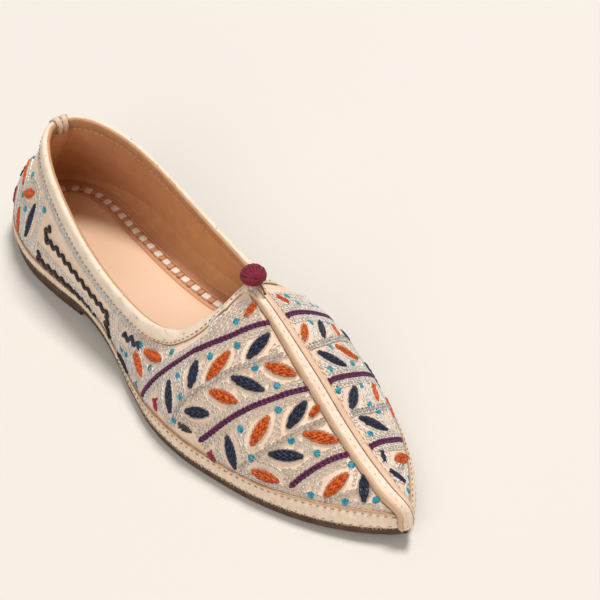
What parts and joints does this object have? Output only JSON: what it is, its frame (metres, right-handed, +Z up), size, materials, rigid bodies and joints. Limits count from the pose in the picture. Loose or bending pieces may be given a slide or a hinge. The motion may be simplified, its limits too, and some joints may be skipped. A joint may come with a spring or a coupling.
{
  "type": "mojari shoe",
  "caption": "Flat leather slip-on with a pointed toe, raised throat with a yarn pompom, strips along the ridge and a low heel lift.",
  "frame": {"origin": "on the floor, under the middle of the outsole's length and on the shoe's middle plane", "axes": "+Z up, the toe towards -Y, the heel towards +Y, X across the shoe"},
  "size_m": [0.0828, 0.2549, 0.0649],
  "materials": {
    "outsole": "dark brown sole leather, matt cut edge",
    "heel_lift": "dark brown sole leather, matt cut edge",
    "insole": "pale tan lining leather",
    "upper": "beige leather covered with embroidery",
    "rand_band": "tan suede-like leather",
    "binding": "cream folded leather",
    "spine_strip_wide": "cream leather, soft sheen",
    "spine_strip_narrow": "cream leather, soft sheen",
    "pompom": "crimson yarn",
    "pompom_tie": "twisted thread",
    "back_tab": "cream thread wrapped with a silver one"
  },
  "bodies": {
    "root": {"outsole": "outsole", "heel_lift": "heel_lift", "insole": "insole", "upper": "upper", "rand_band": "rand_band", "binding": "binding", "spine_strip_wide": "spine_strip_wide", "spine_strip_narrow": "spine_strip_narrow", "pompom": "pompom", "pompom_tie": "pompom_tie", "back_tab": "back_tab"}
  },
  "joints": []
}
